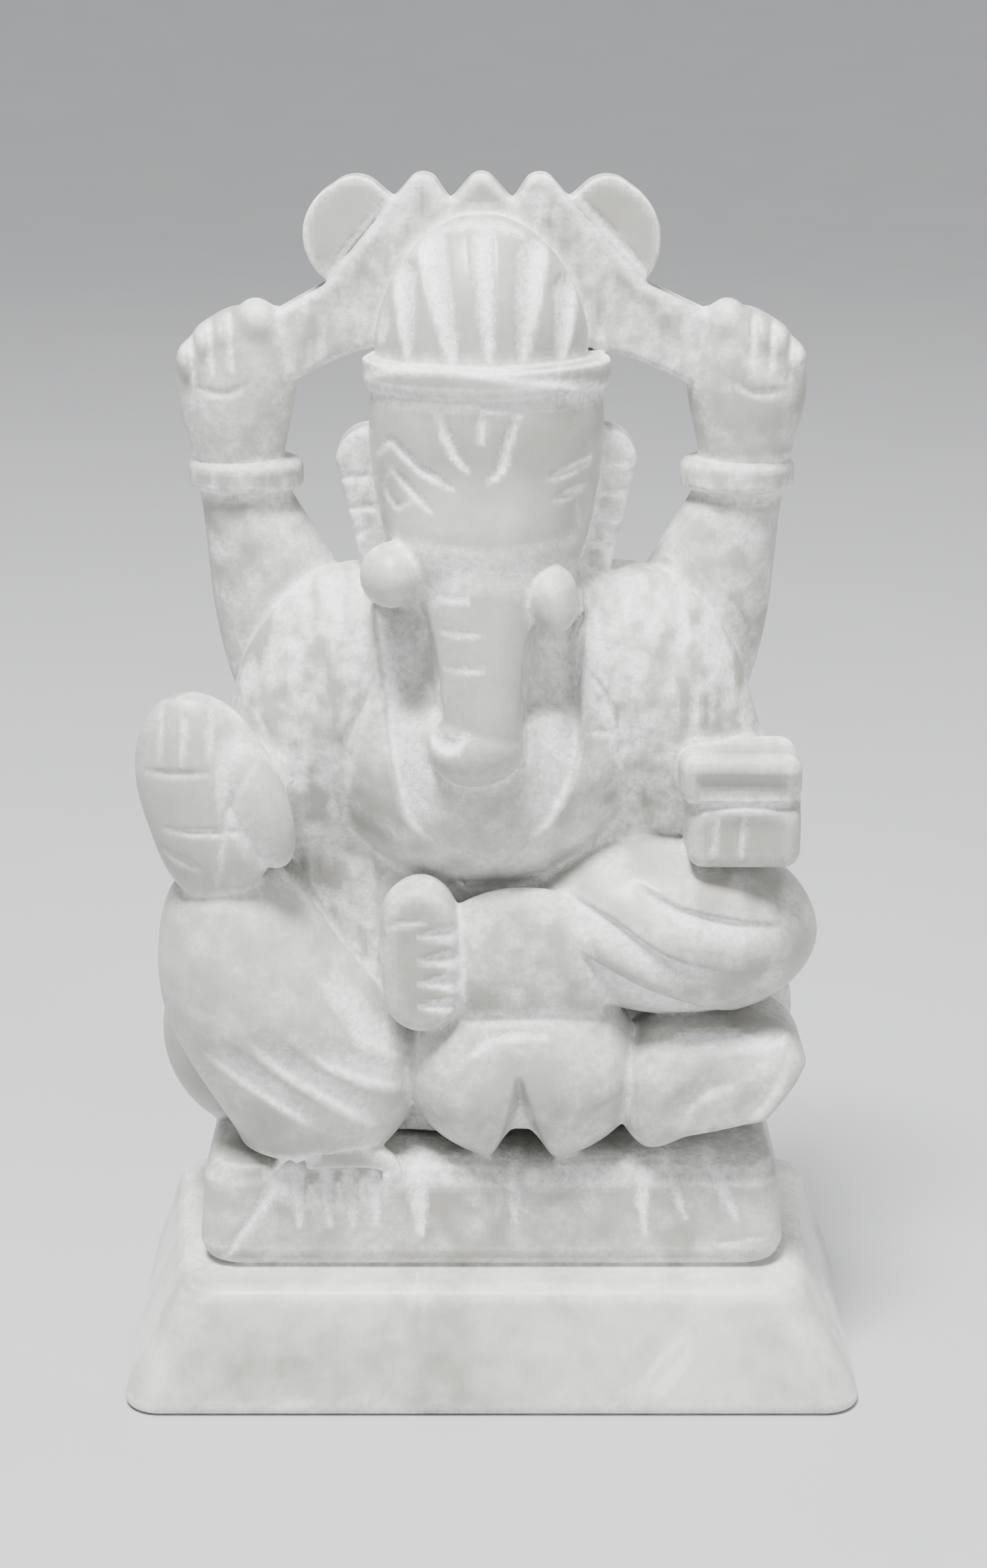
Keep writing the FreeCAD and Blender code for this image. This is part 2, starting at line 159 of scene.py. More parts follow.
def add_pebble(node, middle, size, soft=0.6):
    """Join a round lump to a node; middle is in fractions of its box, size in mm."""
    low, high = box(node)
    centre = low + np.array(middle) * (high - low)
    where, field = fields[node]
    x, y, z = (axis[part] for axis, part in zip(AXES, where))
    scaled = [(place - c) / (s / 2) for place, c, s in zip((x, y, z), centre, size)]
    reach = np.sqrt(scaled[0][:, None, None] ** 2 + scaled[1][None, :, None] ** 2
                    + scaled[2][None, None, :] ** 2)
    lump = (reach - 1) * min(size) / 2
    fields[node] = (where, soft_min(field, lump.astype(np.float32), soft))


def add_collar(node, foot, top):
    """Square up the rim of an oval disc between two shares of its height."""
    low, high = box(node)
    where, field = fields[node]
    x, y, z = (axis[part] for axis, part in zip(AXES, where))
    middle, half = (low + high) / 2, (high - low) / 2
    reach = np.hypot((x - middle[0])[:, None] / half[0], (y - middle[1])[None, :] / half[1])
    wall = (reach - 1) * half[:2].min()
    level = np.abs(z - low[2] - (foot + top) * half[2]) - (top - foot) * half[2]
    collar = np.maximum(wall[:, :, None], level[None, None, :])
    fields[node] = (where, np.minimum(field, collar.astype(np.float32)))


def flatten(node, share):
    """Plane off the front of a node, down to a share of its depth."""
    low, high = box(node)
    where, field = fields[node]
    plane = low[1] + share * (high[1] - low[1]) - AXES[1][where[1]]
    fields[node] = (where, -soft_min(-field, -plane[None, :, None].astype(np.float32),
                                    PLANE_SOFT))


fields = {}
for node in NODES:
    where = window(*box(node))
    fields[node] = (where, cad_form(node, where))

# Knuckles along the top of each fist, the highest one beside the haft.
for side, outer in (("right", 0.0), ("left", 1.0)):
    for across, height, size in ((0.15, 0.67, 2.5), (0.29, 0.78, 2.6), (0.44, 0.83, 2.5),
                                 (0.68, 0.91, 3.4)):
        place = abs(outer - across)
        add_pebble(f"{side}_fist", (place, 0.34, height), (size, 4.6, size + 0.5))

# Ball of the thumb and the pads under the fingers of the open palm.
add_pebble("blessing_hand", (0.72, 0.3, 0.3), (5.6, 4.0, 8.0))
add_pebble("blessing_hand", (0.5, 0.5, 0.24), (7.6, 5.4, 10.0), 1.5)

# Root of the trunk, which swells out of the face without a ledge.
add_pebble("head", (0.46, 0.18, 0.28), (12.5, 8.4, 11.0), 2.0)

# The band of the crown and the bangles are cut square, with the crown's brim uppermost.
add_collar("crown_band", 0.35, 1.0)
add_collar("right_bangle", 0.1, 0.8)
add_collar("left_bangle", 0.1, 0.8)

# The level foot is nearly as wide at its heel and toes as in the middle.
add_pebble("left_foot", (0.5, 0.5, 0.22), (6.4, 8.0, 6.2))
add_pebble("left_foot", (0.46, 0.5, 0.74), (6.2, 8.0, 6.4))

# The tusks are cut unevenly: the right one is a larger oval, the left one is squarer.
add_pebble("right_tusk", (0.45, 0.5, 0.5), (5.0, 6.2, 5.2))
add_pebble("left_tusk", (0.55, 0.5, 0.22), (3.9, 6.2, 3.8))

# The hand holds the sweets without a gap between them.
add_pebble("sweet_hand", (0.5, 0.52, 0.97), (9.6, 8.0, 5.0))

# The chest comes forward on both sides of the trunk.
add_pebble("torso", (0.48, 0.2, 0.84), (23.0, 12.0, 22.0), 2.0)

# Both soles are cut nearly flat.
flatten("left_foot", 0.2)
flatten("right_foot", 0.42)


# ---------------------------------------------------------------- joining the block

nearest = np.full(SHAPE, BAND, dtype=np.float32)
second = np.full(SHAPE, BAND, dtype=np.float32)
owner = np.full(SHAPE, 255, dtype=np.uint8)
stone = np.full(SHAPE, BAND, dtype=np.float32)
SOFTNESS = dict.fromkeys(["torso", "left_hip", "right_hip", "left_forearm", "right_forearm",
                          "left_upper_arm", "right_upper_arm"], BODY_CREASE)
SOFTNESS["belly"] = BELLY_CREASE
SOFTNESS["blessing_thumb"] = THUMB_CREASE
for node in sorted(NODES, key=lambda name: -SOFTNESS.get(name, CREASE)):
    number = NODES.index(node)
    where, field = fields[node]
    near = nearest[where]
    closer = field < near
    second[where] = np.where(closer, near, np.minimum(second[where], field))
    owner[where] = np.where(closer, number, owner[where])
    nearest[where] = np.where(closer, field, near)
    stone[where] = soft_min(stone[where], field, SOFTNESS.get(node, CREASE))
stone = blur(stone, 1)


# ---------------------------------------------------------------- the front as a map

solid = stone < 0
FRONT_SHAPE = (SHAPE[0], SHAPE[2])
hit = solid.argmax(axis=1)
hit = np.where(solid.any(axis=1), hit, SHAPE[1] - 1)
columns = np.indices(FRONT_SHAPE)
front_owner = owner[columns[0], hit, columns[1]]
front_y = AXES[1][hit]
for _ in range(RIM_STEPS):
    for axis in (0, 1):
        beside_it = np.minimum(np.roll(front_y, 1, axis), np.roll(front_y, -1, axis))
        front_y = np.minimum(front_y, beside_it)
FRONT_X = AXES[0][:, None]
FRONT_Z = AXES[2][None, :]
shallow = np.zeros(FRONT_SHAPE)         # depth of the carved lines and steps
hollowed = np.zeros(FRONT_SHAPE)        # depth of the wide hollows
frost_and_highlight = np.zeros(FRONT_SHAPE)           # 1 where the chisel left the stone white and rough, and along the painted highlight on the brim


def marks(node, points):
    """Points on the front, in mm, from fractions of a node's width and height."""
    low, high = box(node)
    return [(low[0] + across * (high[0] - low[0]), low[2] + up * (high[2] - low[2]))
            for across, up in points]


def curve(points):
    """More points along a smooth line through the given points."""
    ends = [points[0]] + list(points) + [points[-1]]
    line = []
    for a, b, c, d in zip(ends, ends[1:], ends[2:], ends[3:]):
        a, b, c, d = (np.array(point) for point in (a, b, c, d))
        for t in (0, 0.25, 0.5, 0.75):
            line.append(b + 0.5 * t * (c - a + t * (2 * a - 5 * b + 4 * c - d
                                                    + t * (3 * (b - c) + d - a))))
    line.append(np.array(points[-1]))
    return line


def beside(line):
    """How far each point of the front is from a line, along it (0 to 1) and to its left."""
    gap = np.full(FRONT_SHAPE, 1e3)
    share = np.zeros(FRONT_SHAPE)
    left = np.zeros(FRONT_SHAPE)
    walked = 0.0
    for (x, z), (next_x, next_z) in zip(line, line[1:]):
        run, rise = next_x - x, next_z - z
        length = math.hypot(run, rise)
        step = ((FRONT_X - x) * run + (FRONT_Z - z) * rise) / length ** 2
        step = np.clip(step, 0, 1)
        off_x, off_z = FRONT_X - x - step * run, FRONT_Z - z - step * rise
        distance = np.hypot(off_x, off_z)
        closer = distance < gap
        gap = np.where(closer, distance, gap)
        share = np.where(closer, walked + step * length, share)
        left = np.where(closer, run * off_z - rise * off_x, left)
        walked += length
    return gap, share / walked, np.sign(left)


def on(nodes):
    """1 where one of the nodes is the front of the stone, else 0."""
    mask = np.isin(front_owner, [NODES.index(node) for node in nodes])
    return blur(mask.astype(float), 1)


def swell(share, ends):
    """Strength along a line: 1 in the middle, down to the two given values at its ends."""
    near_start, near_end = np.clip(share * 3, 0, 1), np.clip((1 - share) * 3, 0, 1)
    return (ends[0] + (1 - ends[0]) * near_start) * (ends[1] + (1 - ends[1]) * near_end)


def groove(nodes, points, wide, deep, white=1.0, ends=(0.2, 0.2), smooth=True):
    """Cut a V-shaped line; the first of the nodes is the one that places it."""
    line = marks(nodes[0], points)
    gap, share, _ = beside(curve(line) if smooth else line)
    strength = swell(share, ends)
    profile = np.clip(1 - gap / (wide / 2 * strength + 1e-6), 0, 1) * on(nodes)
    np.maximum(shallow, deep * strength * profile, out=shallow)
    np.maximum(frost_and_highlight, white * np.clip(profile * 2.5, 0, 1), out=frost_and_highlight)


def wedge(nodes, points, wide, deep, white=1.0):
    """Cut a V-shaped stroke that is widest at its first point and ends in a tip."""
    gap, share, _ = beside(marks(nodes[0], points))
    strength = np.sqrt(np.clip(1 - share, 0, 1))
    profile = np.clip(1 - gap / (wide / 2 * strength + 1e-6), 0, 1) * on(nodes)
    np.maximum(shallow, deep * strength * profile, out=shallow)
    np.maximum(frost_and_highlight, white * np.clip(profile * 2.5, 0, 1), out=frost_and_highlight)


def step_cut(nodes, points, wide, deep, white=0.8, ends=(0.1, 0.1), side=1):
    """Cut a steep step along a line that rises back to the surface on its left (side 1)."""
    gap, share, left = beside(curve(marks(nodes[0], points)))
    strength = swell(share, ends)
    apart = gap * np.where(left * side > 0, 1, -1)
    slope = np.where(apart > 0, 1 - apart / wide, 1 + apart / ARRIS)
    profile = np.clip(slope, 0, 1) * strength * on(nodes)
    np.maximum(shallow, deep * profile, out=shallow)
    np.maximum(frost_and_highlight, white * np.clip(profile * 1.3, 0, 1), out=frost_and_highlight)


def inside(outline):
    """Distance to an outline's edge for the points of the front within it, else 0."""
    gap, _, _ = beside(outline + outline[:1])
    within = np.zeros(FRONT_SHAPE, dtype=bool)
    for (x, z), (next_x, next_z) in zip(outline, outline[1:] + outline[:1]):
        if z != next_z:
            crossing = x + (FRONT_Z - z) * (next_x - x) / (next_z - z)
            within ^= ((FRONT_Z > z) != (FRONT_Z > next_z)) & (FRONT_X < crossing)
    return np.where(within, gap, 0)


def hollow(nodes, points, deep, slope, white=0.0):
    """Sink an outlined area of the front by a depth, with sloping sides."""
    sunk = np.clip(inside(marks(nodes[0], points)) / slope, 0, 1) * on(nodes)
    np.maximum(hollowed, deep * sunk, out=hollowed)
    np.maximum(frost_and_highlight, white * sunk, out=frost_and_highlight)


def cut_through(node, points):
    """Cut an outlined area right through the stone, from front to back."""
    prism = inside(marks(node, points)) - 1e-3
    np.maximum(stone, prism[:, None, :], out=stone, where=prism[:, None, :] > 0)


def whiten(nodes, points, wide, white):
    """Leave chisel-white stone along a line without cutting it deeper; along the brim it paints a
    highlight.
    """
    gap, _, _ = beside(curve(marks(nodes[0], points)))
    np.maximum(frost_and_highlight, white * np.clip(1.4 - gap / (wide / 2), 0, 1) * on(nodes), out=frost_and_highlight)


# ---------------------------------------------------------------- carving the features


def carve_face():
    """Brows, eyes, the mark cut in the forehead, the step under the crown's brim, and a painted
    highlight along the brim's top.
    """
    face = ("head",)
    groove(face, [(0.04, 0.69), (0.1, 0.78), (0.22, 0.66), (0.37, 0.57)], 0.75, 0.5,
           smooth=False)
    groove(face, [(0.09, 0.66), (0.17, 0.57), (0.28, 0.46)], 0.6, 0.45)
    groove(face, [(0.1, 0.64), (0.07, 0.56), (0.11, 0.47), (0.15, 0.48), (0.21, 0.53)],
           0.5, 0.35, white=0.6)
    groove(face, [(0.75, 0.61), (0.94, 0.68)], 0.75, 0.5, ends=(0.2, 0.8))
    groove(face, [(0.77, 0.51), (0.93, 0.55)], 0.7, 0.45)
    groove(face, [(0.88, 0.48), (0.9, 0.34)], 0.45, 0.3, white=0.5)
    groove(face, [(0.3, 0.93), (0.34, 0.81), (0.38, 0.72), (0.43, 0.66)], 0.9, 0.55)
    groove(face, [(0.48, 0.96), (0.48, 0.78)], 0.8, 0.5)
    groove(face, [(0.64, 0.94), (0.59, 0.81), (0.56, 0.67), (0.5, 0.61)], 0.9, 0.55)
    groove(face, [(0.47, 0.95), (0.59, 0.95)], 0.5, 0.35)
    whiten(face, [(0.2, 0.3), (0.5, 0.27), (0.85, 0.3)], 1.2, 0.5)
    step_cut(("crown_band", "head"),
             [(0.03, 0.54), (0.13, 0.92), (0.3, 1.08), (0.44, 1.0), (0.65, 0.65),
              (0.81, 0.54), (0.93, 0.04)], 1.4, 0.5, white=0.2, ends=(0.6, 0.6))
    # Painted highlight: a white line along the top edge of the crown's polished brim.
    whiten(("crown_band", "crown"),
           [(0.03, 0.6), (0.13, 0.95), (0.44, 1.0), (0.65, 0.75), (0.93, 0.3)], 0.7, 0.9)


def carve_crown():
    """Upright flutes with a dome-topped lobe in the middle."""
    cap = ("crown",)
    for points, wide in (([(0.15, 0.6), (0.17, 0.02)], 2.2), ([(0.27, 0.84), (0.38, -0.02)], 2.8),
                         ([(0.5, 0.86), (0.54, -0.02)], 2.0), ([(0.73, 0.74), (0.68, -0.02)], 2.8),
                         ([(0.89, 0.5), (0.86, -0.02)], 2.4)):
        wedge(cap, points, wide, 1.2)
    groove(cap, [(0.28, 0.8), (0.32, 0.9), (0.49, 0.95), (0.66, 0.9), (0.71, 0.78)], 0.8, 0.4,
           white=0.5)
    groove(cap, [(0.03, 0.1), (0.06, 0.4)], 1.2, 0.5, white=0.6)


def carve_trunk():
    """Rings across the trunk, its curled tip, and the hollows beside it."""
    hang = ("trunk",)
    for points in ([(0.14, 0.83), (0.46, 0.83)], [(0.2, 0.68), (0.54, 0.69)],
                   [(0.25, 0.53), (0.54, 0.54)]):
        groove(hang, points, 0.5, 0.3)
    groove(hang, [(0.1, 0.27), (0.26, 0.21), (0.4, 0.26)], 1.5, 0.7)
    chest = ("belly", "torso", "head")
    hollow(chest, [(0.63, 1.14), (0.82, 1.14), (0.81, 0.74), (0.62, 0.72)], 2.8, 0.8)
    hollow(chest, [(0.18, 1.14), (0.33, 1.14), (0.41, 0.9), (0.46, 0.74), (0.24, 0.7)], 2.2, 0.8)


def carve_belly():
    """U-shaped step where the belly rises round the trunk, and the lower contour."""
    front = ("belly", "torso")
    step_cut(front, [(0.17, 1.12), (0.2, 0.82), (0.22, 0.62), (0.27, 0.38), (0.35, 0.28)],
             4.5, 1.9, white=1.0, ends=(0.7, 0.0))
    step_cut(front, [(0.82, 1.1), (0.8, 0.71), (0.78, 0.53), (0.7, 0.35), (0.6, 0.28)],
             4.5, 1.9, white=1.0, ends=(0.7, 0.0), side=-1)
    groove(front, [(0.2, 0.12), (0.5, 0.05), (0.8, 0.13)], 1.4, 0.35, white=0.4)


def carve_chest():
    """Chisel lines over the chest."""
    front = ("torso", "belly", "right_upper_arm", "left_upper_arm")
    groove(front, [(0.28, 0.87), (0.22, 0.77), (0.19, 0.7)], 1.0, 0.5, white=0.8)
    groove(front, [(0.68, 0.87), (0.73, 0.82), (0.76, 0.74)], 0.7, 0.5)
    groove(front, [(0.69, 0.76), (0.76, 0.75)], 0.5, 0.3)


def carve_palm():
    """Fingers, creases and the thumb's edge on the raised palm."""
    palm = ("blessing_hand", "blessing_thumb")
    groove(palm, [(0.05, 0.63), (0.61, 0.64)], 0.6, 0.45, white=0.3)
    groove(palm, [(0.2, 0.34), (0.87, 0.35)], 0.6, 0.5, white=0.6)
    groove(palm, [(0.17, 0.24), (0.49, 0.14)], 0.6, 0.4, white=0.3)
    groove(palm, [(0.92, 0.74), (0.7, 0.5), (0.6, 0.2), (0.57, 0.0)], 0.8, 0.35, white=0.4)
    for across in (0.2, 0.36, 0.54):
        groove(palm, [(across, 0.68), (across + 0.02, 0.95)], 0.7, 0.3, white=0.5)


def carve_fists():
    """Gaps between the fingers, and the crease where they meet the palm."""
    for side, turn in (("right", 0), ("left", 1)):
        hand = (f"{side}_fist",)
        for across, foot, top in ((0.18, 0.5, 0.82), (0.34, 0.55, 0.9), (0.5, 0.56, 0.95)):
            groove(hand, [(abs(turn - across), foot), (abs(turn - across + 0.03), top)],
                   0.8, 0.55, white=0.7, ends=(0.0, 1.0))
        groove(hand, [(abs(turn - 0.14), 0.5), (abs(turn - 0.45), 0.47), (abs(turn - 0.68), 0.56)],
               0.7, 0.35, white=0.5)


def carve_folds():
    """Cloth folds over the raised leg and the folded thigh."""
    leg = ("raised_leg",)
    for points, deep in (
            ([(0.6, 0.7), (0.72, 0.53), (0.79, 0.45), (0.99, 0.33)], 1.0),
            ([(0.57, 0.46), (0.68, 0.38), (0.95, 0.25)], 0.7),
            ([(0.37, 0.5), (0.46, 0.4), (0.61, 0.3), (0.86, 0.13)], 1.0),
            ([(0.19, 0.42), (0.41, 0.29), (0.6, 0.17)], 0.8)):
        step_cut(leg, points, 2.4, deep * 1.15, white=1.0)
    thigh = ("folded_thigh",)
    for points, wide, deep in (
            ([(0.37, 0.85), (0.46, 0.77), (0.56, 0.71), (0.73, 0.64), (0.86, 0.59)], 2.0, 0.8),
            ([(0.1, 0.79), (0.28, 0.68), (0.4, 0.56), (0.5, 0.47), (0.65, 0.4)], 2.4, 1.0),
            ([(0.06, 0.64), (0.24, 0.43), (0.44, 0.26), (0.58, 0.16), (0.74, 0.03)], 2.4, 1.2)):
        step_cut(thigh, points, wide, deep * 1.15, white=1.0, side=-1)


def carve_feet():
    """Toes of the level foot, and of the foot on the slab with the strokes beside it."""
    sole = ("left_foot", "left_shin")
    for height in (0.67, 0.5, 0.34, 0.18):
        wedge(sole, [(0.82, height + 0.02), (0.46, height)], 1.7, 0.55, white=0.8)
    groove(sole, [(0.97, 0.84), (0.97, 0.1)], 0.9, 0.15)
    groove(sole, [(0.07, 0.72), (0.3, 0.76), (0.6, 0.77)], 0.6, 0.3, white=0.8)
    slab = ("seat_slab", "right_foot")
    step_cut(slab, [(0.13, 0.85), (0.33, 0.92)], 0.9, 1.0, white=0.3)
    for across in (0.17, 0.22, 0.26, 0.3):
        wedge(slab, [(across, 0.84), (across + 0.005, 0.4)], 1.8, 1.0)
    for points, wide in (([(0.16, 1.0), (0.04, 0.07)], 1.3), ([(0.2, 1.1), (0.09, 0.5)], 1.2),
                         ([(0.37, 1.0), (0.38, 0.32)], 1.9), ([(0.54, 1.0), (0.54, 0.4)], 1.3),
                         ([(0.75, 1.0), (0.76, 0.3)], 1.4), ([(0.8, 0.95), (0.83, 0.47)], 1.0),
                         ([(0.87, 0.98), (0.92, 0.44)], 1.1)):
        wedge(slab, points, wide * 1.3, 0.9)
    groove(slab, [(0.86, 0.23), (0.97, 0.3)], 0.4, 0.2)
    whiten(slab, [(0.33, 0.95), (0.6, 0.9), (0.95, 0.95)], 3.0, 0.55)


def carve_drapes():
    """Hanging cloth: a notch between its two points, and fold lines."""
    cloth = ("centre_drape", "seat_slab")
    hollow(cloth[:1], [(0.32, -0.1), (0.46, 0.64), (0.64, -0.1)], 4.5, 1.1, white=0.3)
    groove(cloth, [(0.19, 0.6), (0.36, 0.79), (0.6, 0.8)], 0.8, 0.25, white=0.9)
    groove(cloth, [(0.28, 0.1), (0.42, 0.5)], 1.6, 0.35, white=0.2)
    groove(cloth, [(0.6, 0.1), (0.76, 0.3), (0.9, 0.45)], 1.6, 0.4, white=0.2)
    fold = ("side_drape", "seat_slab")
    under = ("side_drape", "left_hip")
    hollow(under, [(0.1, -0.2), (0.1, 0.02), (0.33, 0.24), (0.76, 0.38), (0.97, 0.7), (1.2, 0.7),
                   (1.2, -0.2)], 5.5, 1.4, white=0.3)
    cut_through("side_drape", [(0.84, 0.0), (0.86, 0.36), (0.99, 0.72), (1.3, 0.8), (1.3, 0.0)])
    step_cut(fold, [(0.3, 0.3), (0.42, 0.56), (0.62, 0.7)], 2.2, 0.8, white=0.4)
    step_cut(fold, [(0.62, 0.3), (0.76, 0.52), (0.88, 0.84)], 2.2, 0.7, white=0.4)
    groove(fold, [(0.08, 0.8), (0.3, 0.93), (0.9, 0.92)], 1.2, 0.2, white=0.9)


def carve_sweet():
    """Block of sweets and the thumb over it."""
    held = ("sweet_hand", "sweet")
    groove(held, [(0.24, 0.98), (0.22, 0.13)], 0.6, 0.35, white=0.6)
    groove(held, [(0.48, 0.95), (0.46, 0.13)], 0.6, 0.4, white=0.6)
    groove(held, [(0.1, 1.0), (1.0, 1.0)], 0.8, 0.35, ends=(1.0, 1.0))
    hollow(("sweet",), [(0.12, 0.12), (0.12, 0.66), (0.96, 0.62), (0.96, 0.12)], 0.6, 0.4)


def carve_cheeks():
    """Small pit beside the right tusk."""
    wedge(("right_tusk",), [(0.95, 0.12), (0.7, 0.3)], 1.0, 0.5, white=0.2)


def carve_ears():
    """Lines across the folds of the ears."""
    for node, heights in (("right_ear", (0.66, 0.45, 0.27)), ("left_ear", (0.74, 0.54, 0.35, 0.18))):
        for height in heights:
            groove((node,), [(0.0, height), (1.0, height + 0.03)], 0.8, 0.3, ends=(1.0, 0.3))


def carve_axes():
    """A line along each haft, up to its blade."""
    for side, turn in (("right", 0), ("left", 1)):
        haft = (f"{side}_axe_handle", f"{side}_axe_blade")
        groove(haft, [(abs(turn - 0.28), 0.5), (abs(turn - 0.72), 0.95)], 0.8, 0.45, white=0.9)


carve_face()
carve_crown()
carve_trunk()
carve_belly()
carve_chest()
carve_palm()
carve_fists()
carve_folds()
carve_feet()
carve_drapes()
carve_sweet()
carve_cheeks()
carve_ears()
carve_axes()

# Chisel-rough stone: how white and coarse each volume was left by the tools.
ROUGH = {"torso": 0.75, "right_upper_arm": 0.7, "left_upper_arm": 0.75, "belly": 0.3,
         "right_raised_arm": 0.4, "left_raised_arm": 0.45, "right_axe_handle": 0.5,
         "left_axe_handle": 0.6, "raised_leg": 0.2, "left_shin": 0.35, "seat_slab": 0.25,
         "centre_drape": 0.25, "side_drape": 0.25, "folded_thigh": 0.25, "right_bangle": 0.5,
         "left_bangle": 0.5, "right_ear": 0.5, "left_ear": 0.5, "plinth": 0.1,
         "right_forearm": 0.7, "left_forearm": 0.7, "right_fist": 0.3, "left_fist": 0.35}
rough = np.zeros(FRONT_SHAPE)
for number, node in enumerate(NODES):
    rough[front_owner == number] = ROUGH.get(node, MATT)
rough = blur(rough, 6)
random = np.random.default_rng(11)


def grain(across, up):
    """A random map, drawn out by blurring it more in one direction than the other."""
    noise = random.standard_normal(FRONT_SHAPE)
    for axis, passes in ((0, across), (1, up)):
        for _ in range(passes):
            noise = 0.5 * noise + 0.25 * (np.roll(noise, 1, axis) + np.roll(noise, -1, axis))
    return noise / noise.std()


streaked = grain(4, 50) * 0.6 + grain(9, 9) * 0.5
mottled = grain(12, 12) * 0.6 + grain(40, 40) * 0.5
chisel = np.where(rough > STREAKED_FROM, streaked, mottled)
shallow += np.clip(rough - 0.2, 0, 1) * np.clip(0.5 + 0.5 * chisel, 0, 1.6) * CHISEL
shallow = blur(shallow, 1)
hollowed = blur(hollowed, 2)
frost_and_highlight = np.clip(np.maximum(blur(frost_and_highlight, 1), rough * np.clip(0.65 + 0.55 * chisel, 0, 1.3)), 0, 1)

# Worn edges and chiselled corners are whiter than the open surfaces between them: frosted stone,
# with a painted highlight along every convex edge.
bend = blur(stone.copy(), EDGE_PASSES) - stone

behind = AXES[1][None, :, None] - front_y[:, None, :]
stone += shallow[:, None, :] * np.clip(1 - behind / NEAR_DEEP, 0, 1)
stone += hollowed[:, None, :] * np.clip(1 - behind / FAR_DEEP, 0, 1)
stone = stone.astype(np.float32)


# ---------------------------------------------------------------- pieces


def white_and_highlight_at(points):
    """How white and rough the stone is at each point, from the map, the creases and the edges; the
    map holds the painted highlight on the brim, and convex edges get a painted highlight.
    """
    index = np.rint((points - LOW) / STEP).astype(int)
    index = np.clip(index, 0, np.array(SHAPE) - 1)
    x, y, z = index.T
    seam = np.clip(1 - (second[x, y, z] - nearest[x, y, z]) / SEAM, 0, 1)
    in_front = np.clip(1 - (points[:, 1] - front_y[x, z] - 1.5) / NEAR_DEEP, 0, 1)
    # Convex edges get whiter: frosted wear and a painted highlight.
    edge = np.clip(EDGE_GAIN * bend[x, y, z], 0, 0.8)
    carved = frost_and_highlight[x, z] * in_front + SIDE_FROST * (1 - in_front)
    return np.clip(np.maximum(carved, 0.7 * seam) + edge, 0, 1)


def mesh_of(field, where, name):
    """A mesh of the zero surface of a window of the block."""
    grid = openvdb.FloatGrid(BAND)
    grid.copyFromArray(np.ascontiguousarray(field))
    points, triangles, quads = grid.convertToPolygons(0.0, 0.0)
    start = np.array([part.start for part in where])
    points = LOW + STEP * (points + start)
    mesh = bpy.data.meshes.new(name)
    faces = len(quads) + len(triangles)
    loops = np.concatenate([quads.ravel(), triangles.ravel()]).astype(np.int32)
    starts = np.concatenate([np.arange(len(quads)) * 4,
                             len(quads) * 4 + np.arange(len(triangles)) * 3]).astype(np.int32)
    mesh.vertices.add(len(points))
    mesh.vertices.foreach_set("co", (points * MM).astype(np.float32).ravel())
    mesh.loops.add(len(loops))
    mesh.loops.foreach_set("vertex_index", loops)
    mesh.polygons.add(faces)
    mesh.polygons.foreach_set("loop_start", starts)
    mesh.update(calc_edges=True)
    # Whiteness of frosted stone and of the painted highlights, for the material.
    white = mesh.attributes.new("frost_and_highlight", "FLOAT", "POINT")
    white.data.foreach_set("value", white_and_highlight_at(points).astype(np.float32))
    mesh.validate()
    mesh.shade_smooth()
    return mesh


# ---------------------------------------------------------------- stone


class MaterialMaker:
    """Adds linked shader nodes to one material in few words."""

    def __init__(self, name):
        self.material = bpy.data.materials.new(name)
        self.material.use_nodes = True
        self.tree = self.material.node_tree
        self.shader = self.tree.nodes["Principled BSDF"]

    def add(self, kind, values=(), **settings):
        node = self.tree.nodes.new(kind)
        for setting, value in settings.items():
            setattr(node, setting, value)
        for socket, value in dict(values).items():
            if isinstance(value, bpy.types.NodeSocket):
                self.tree.links.new(value, node.inputs[socket])
            else:
                node.inputs[socket].default_value = value
        return node

    def noise(self, place, scale, detail, roughness=0.5):
        made = self.add("ShaderNodeTexNoise", {"Vector": place, "Scale": scale,
                                               "Detail": detail, "Roughness": roughness})
        return made.outputs["Fac"]

    def ramp(self, value, low, high, start=0.0, end=1.0):
        made = self.add("ShaderNodeMapRange", {"Value": value, "From Min": low,
                                               "From Max": high, "To Min": start, "To Max": end})
        return made.outputs["Result"]

    def math(self, operation, first, second):
        made = self.add("ShaderNodeMath", {0: first, 1: second}, operation=operation)
        made.use_clamp = True
        return made.outputs["Value"]

    def mix(self, share, first, second):
        made = self.add("ShaderNodeMix", {0: share, 6: first, 7: second}, data_type="RGBA")
        return made.outputs[2]

    def feed(self, socket, value):
        self.tree.links.new(value, self.shader.inputs[socket])


FROST_AND_HIGHLIGHT_WHITE = (0.98, 0.98, 0.975, 1)          # stone that the chisel frosted, and the painted highlights
VEIN = (0.93, 0.925, 0.9, 1)


